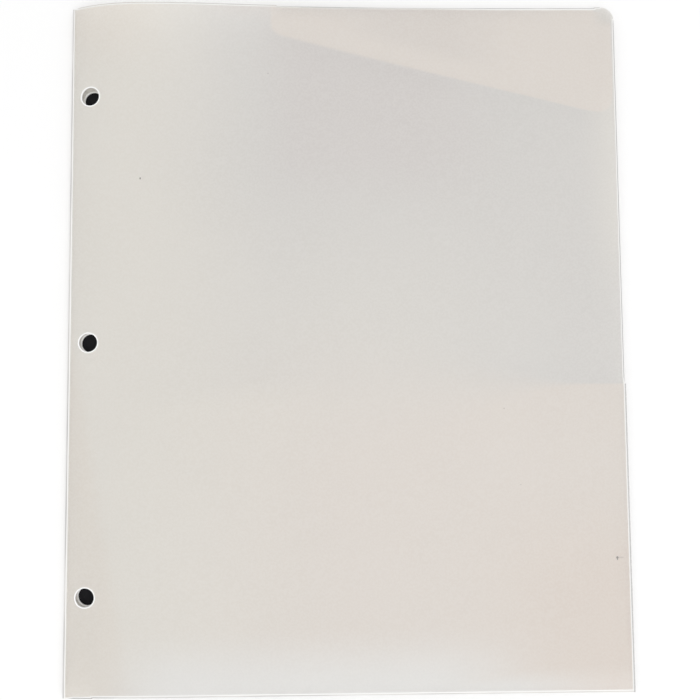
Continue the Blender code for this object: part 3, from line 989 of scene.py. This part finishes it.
class FolderOperator:
    """What the folder's operators share."""

    bl_options = {"REGISTER", "UNDO"}

    def execute(self, context):
        self.sizes = context.scene.folder_sizes
        self.finish = context.scene.folder_finish
        self.layout_of = Layout(self.sizes)
        self.make()
        return {"FINISHED"}

    def sheet(self):
        return once("milky_sheet", sheet_material, self.finish)

    def crease(self):
        return once("creased_plastic", crease_material, self.finish, self.layout_of)

    def panel(self, name, outline, seams, side, height, material, holes=()):
        """A panel, die-cut flat and bent to its height."""
        layout = self.layout_of
        form = die_cut(self.sizes, outline, holes, seams, side, layout.pocket_top_y)
        return finish_piece(form, name, lambda spot: layout.bent(spot, height), material)

    def turned_strip(self, name, span, fold_y, upper, outwards, cover_on_top):
        """A strip of sheet that turns over at fold_y, from one end of its span across to the other."""
        layout = self.layout_of
        turn_of = (lambda spot: spot.y) if cover_on_top else (lambda spot: 1 - spot.y)
        steps = (self.sizes.cell, 1 / turn_segments)
        form = strip(self.sizes, (span[0], 0), (span[1], 1), steps, turn_of)
        return finish_piece(
            form,
            name,
            lambda spot: layout.turned(spot, fold_y, upper, outwards),
            self.crease(),
        )


class FOLDER_OT_covers(FolderOperator, bpy.types.Operator):
    """Die-cut both covers with their ring holes and bend the front one to its sprung shape"""

    bl_idname = "folder.covers"
    bl_label = "Covers"

    def make(self):
        layout = self.layout_of
        outline = layout.cover_outline()
        holes = layout.cover_holes()
        seams = [(0, layout.score_reach), (1, layout.pocket_fold_y), (1, layout.tab_fold_y)]
        for body, height, side in (("front", layout.front_cover, 1), ("back", layout.back_cover, -1)):
            plastic = once(body + "_cover_plastic", cover_material, self.finish, layout, body == "front")
            piece = self.panel(body + "_cover_sheet", outline, seams, side, height, plastic, holes)
            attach(piece, body)
            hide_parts(body + "_cover")


class FOLDER_OT_pockets(FolderOperator, bpy.types.Operator):
    """Cut both pocket panels, turn the sheet over along the bottom edge and seal the outer edges"""

    bl_idname = "folder.pockets"
    bl_label = "Pockets"

    def make(self):
        layout = self.layout_of
        self.pocket("front", layout.front_pocket, layout.front_cover, layout.front_pocket_level, -1)
        self.pocket("back", layout.back_pocket, layout.back_pocket, layout.back_cover_level, 1)

    def pocket(self, body, height, upper, low_level, inside):
        sizes = self.sizes
        layout = self.layout_of
        fold_y = layout.pocket_fold_y
        seams = [(1, fold_y), (0, sizes.cover_width)]
        panel = self.panel(
            body + "_pocket_sheet", layout.pocket_outline(), seams, inside, height, self.sheet()
        )
        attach(panel, body)
        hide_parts(body + "_pocket")
        span = (sizes.pocket_setback, sizes.cover_width)
        turn = self.turned_strip(body + "_pocket_turn", span, fold_y, upper, -1, body == "front")
        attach(turn, body)
        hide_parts(body + "_pocket_fold")
        seal = self.seal(body, low_level)
        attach(seal, body)
        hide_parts(body + "_pocket_seal")

    def seal(self, body, low_level):
        """A half-round bead of melted plastic, slightly uneven along its length."""
        sizes = self.sizes
        layout = self.layout_of
        ripple = sizes.weld_ripple
        half_height = sizes.sheet + sizes.clearance / 2
        width = sizes.clearance + sizes.seal_width
        middle = Vector((layout.score_x + sizes.cover_width, 0, low_level + layout.layer / 2))
        form = bmesh.new()
        bmesh.ops.create_circle(form, radius=1, segments=weld_segments, cap_ends=True)
        upright = Matrix.Rotation(math.pi / 2, 3, "X")
        bmesh.ops.rotate(form, cent=(0, 0, 0), matrix=upright, verts=form.verts)
        bmesh.ops.bisect_plane(
            form,
            geom=everything(form),
            dist=same_place,
            plane_co=(0, 0, 0),
            plane_no=(1, 0, 0),
            clear_inner=True,
        )
        bmesh.ops.scale(form, vec=(width - ripple, 1, half_height - ripple), verts=form.verts)
        bmesh.ops.translate(form, vec=(0, layout.bottom_y, 0), verts=form.verts)
        draw_out(form, (0, sizes.pocket_height, 0))
        divide(form, 1, weld_step)

        def rippled(spot):
            if spot.x <= same_place:
                return middle + spot
            outwards = Vector((spot.x, 0, spot.z)).normalized()
            lump = noise.noise(spot * Vector(weld_lumps))
            return middle + spot + outwards * ripple * lump

        plastic = once("welded_edge", weld_material, self.finish)
        return finish_piece(form, body + "_pocket_weld", rippled, plastic)


class FOLDER_OT_tabs(FolderOperator, bpy.types.Operator):
    """Cut both retaining tabs and the creases that they turn on"""

    bl_idname = "folder.tabs"
    bl_label = "Tabs"

    def make(self):
        layout = self.layout_of
        self.tab("front", layout.front_tab, -1)
        self.tab("back", layout.back_pocket, 1)
        self.creases("front", layout.front_cover, 1, crease_lengths)
        self.creases("back", layout.back_pocket, -1, 1)

    def tab(self, body, height, inside):
        layout = self.layout_of
        seams = [(1, layout.tab_fold_y)]
        piece = self.panel(body + "_tab_sheet", layout.tab_outline(), seams, inside, height, self.sheet())
        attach(piece, body + "_tab")
        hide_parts(body + "_tab")

    def creases(self, body, upper, cover_side, count):
        """The rolled crease, in lengths short enough to be nearly straight, so that each bends truly."""
        layout = self.layout_of
        fold_y = layout.tab_fold_y
        each = (layout.tab_end - self.sizes.tab_start) / count
        for number in range(count):
            start = self.sizes.tab_start + each * number
            span = (start, start + each)
            name = f"{body}_tab_turn_{number + 1}"
            piece = self.turned_strip(name, span, fold_y, upper, 1, cover_side > 0)
            heights = [upper(s, fold_y) - layout.turn_radius for s in span]
            ends = [Vector((layout.score_x + s, fold_y, height)) for s, height in zip(span, heights)]
            along = ends[1] - ends[0]
            square = Vector((-along.z, 0, along.x)).normalized() * (layout.turn_radius * cover_side)
            middle = (ends[0] + ends[1]) / 2
            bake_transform(piece, body, body + "_tab", start=middle + square, end=middle - square)
            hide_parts(body + "_tab_crease")


class FOLDER_OT_spine(FolderOperator, bpy.types.Operator):
    """Make the narrow spine panel and the two scored corners that join it to the covers"""

    bl_idname = "folder.spine"
    bl_label = "Spine"

    def make(self):
        sizes = self.sizes
        layout = self.layout_of
        low = layout.back_score_z + layout.score_reach
        high = layout.front_score_z - layout.score_reach
        form = strip(sizes, (low, layout.bottom_y), (high, layout.top_y), (high - low, sizes.cell))
        panel = finish_piece(
            form,
            "spine_sheet",
            lambda spot: Vector((layout.score_x - spot.z, spot.y, spot.x)),
            self.sheet(),
        )
        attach(panel, "spine")
        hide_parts("spine")
        self.corner("front", layout.front_cover, 1, high, layout.front_score_z)
        self.corner("back", layout.back_cover, -1, low, layout.back_score_z)

    def corner(self, body, cover, side, spine_z, score_z):
        sizes = self.sizes
        layout = self.layout_of
        steps = (1 / turn_segments, sizes.cell)
        form = strip(sizes, (0, layout.bottom_y), (1, layout.top_y), steps, lambda spot: (1 - spot.x) / 2)
        piece = finish_piece(
            form,
            body + "_score_turn",
            lambda spot: layout.scored(spot, cover, score_z, side),
            self.crease(),
        )
        start = (layout.score_x, 0, spine_z)
        end = (layout.score_x + layout.score_reach, 0, score_z)
        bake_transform(piece, "spine", body, start=start, end=end)
        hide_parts(body + "_score")


class FOLDER_OT_stage(bpy.types.Operator):
    """Set up the pale floor, the dark pad seen through the holes, the soft light and the camera"""

    bl_idname = "folder.stage"
    bl_label = "Stage"
    bl_options = {"REGISTER", "UNDO"}

    def execute(self, context):
        stage = context.scene.folder_stage
        low, high = (Vector(corner) for corner in cad_box)
        middle = (low + high) / 2
        inset = stage.pad_inset
        self.sheet_on_floor("floor", (floor_size, floor_size), (0, 0), floor_level, stage.floor_colour)
        pad_size = (high.x - low.x - 2 * inset, high.y - low.y - 2 * inset)
        self.sheet_on_floor("pad", pad_size, (middle.x, middle.y), pad_level, stage.pad_colour)
        self.lamp(stage)
        self.surroundings(context, stage)
        self.camera(context, stage)
        context.scene.view_settings.view_transform = "Standard"
        return {"FINISHED"}

    def sheet_on_floor(self, name, size, centre, level, shade):
        form = bmesh.new()
        bmesh.ops.create_grid(form, x_segments=floor_cells, y_segments=floor_cells, size=0.5)
        bmesh.ops.scale(form, vec=(size[0], size[1], 1), verts=form.verts)
        bmesh.ops.translate(form, vec=(centre[0], centre[1], level), verts=form.verts)
        thing = put_form(form, name, once(name + "_matte", floor_material, shade))

    def lamp(self, stage):
        data = bpy.data.lights.new("key_lamp", "AREA")
        data.shape = "SQUARE"
        data.size = stage.key_size
        data.energy = stage.key_power
        lamp = put("key_lamp", data)
        lamp.location = stage.key_place
        lamp.rotation_euler = (-Vector(stage.key_place)).to_track_quat("-Z", "Y").to_euler()

    def surroundings(self, context, stage):
        """Even light all round, which the camera and clear or shiny surfaces see as white."""
        context.scene.world = bpy.data.worlds.new("studio")
        wiring = Wiring(context.scene.world)
        rays = wiring.node("ShaderNodeLightPath").outputs
        seen = wiring.most(rays["Is Camera Ray"], rays["Is Glossy Ray"], rays["Is Transmission Ray"])
        strength = wiring.ramp(seen, 0.0, 1.0, stage.fill_light, 1.0)
        light = wiring.node("ShaderNodeBackground", {"Color": white, "Strength": strength})
        wiring.done(light.outputs[0], "ShaderNodeOutputWorld")

    def camera(self, context, stage):
        data = bpy.data.cameras.new("camera")
        data.sensor_width = sensor_width
        data.lens = stage.camera_lens
        data.clip_start = nearest_seen
        camera = put("camera", data)
        camera.location = stage.camera_place
        camera.rotation_euler = stage.camera_turn
        context.scene.camera = camera


class FOLDER_PT_sidebar(bpy.types.Panel):
    """Sizes, colours and surface with their painted light and shade, and stage of the folder, and the steps
    that build it
    """

    bl_idname = "FOLDER_PT_sidebar"
    bl_label = "Pocket folder"
    bl_space_type = "VIEW_3D"
    bl_region_type = "UI"
    bl_category = "Folder"

    def draw(self, context):
        column = self.layout.column()
        for step in steps:
            column.operator(step.bl_idname)
        for group in (context.scene.folder_sizes, context.scene.folder_finish, context.scene.folder_stage):
            box = self.layout.box()
            for name in group.__annotations__:
                box.prop(group, name)


groups = (FolderSizes, FolderFinishAndLight, FolderStage)
steps = (FOLDER_OT_covers, FOLDER_OT_pockets, FOLDER_OT_tabs, FOLDER_OT_spine, FOLDER_OT_stage)


def register():
    for kind in (*groups, *steps, FOLDER_PT_sidebar):
        bpy.utils.register_class(kind)
    bpy.types.Scene.folder_sizes = bpy.props.PointerProperty(type=FolderSizes)
    bpy.types.Scene.folder_finish = bpy.props.PointerProperty(type=FolderFinishAndLight)
    bpy.types.Scene.folder_stage = bpy.props.PointerProperty(type=FolderStage)


def unregister():
    del bpy.types.Scene.folder_stage
    del bpy.types.Scene.folder_finish
    del bpy.types.Scene.folder_sizes
    for kind in reversed((*groups, *steps, FOLDER_PT_sidebar)):
        bpy.utils.unregister_class(kind)


def main():
    register()
    bpy.ops.folder.covers()
    bpy.ops.folder.pockets()
    bpy.ops.folder.tabs()
    bpy.ops.folder.spine()
    bpy.ops.folder.stage()


if __name__ == "__main__":
    main()
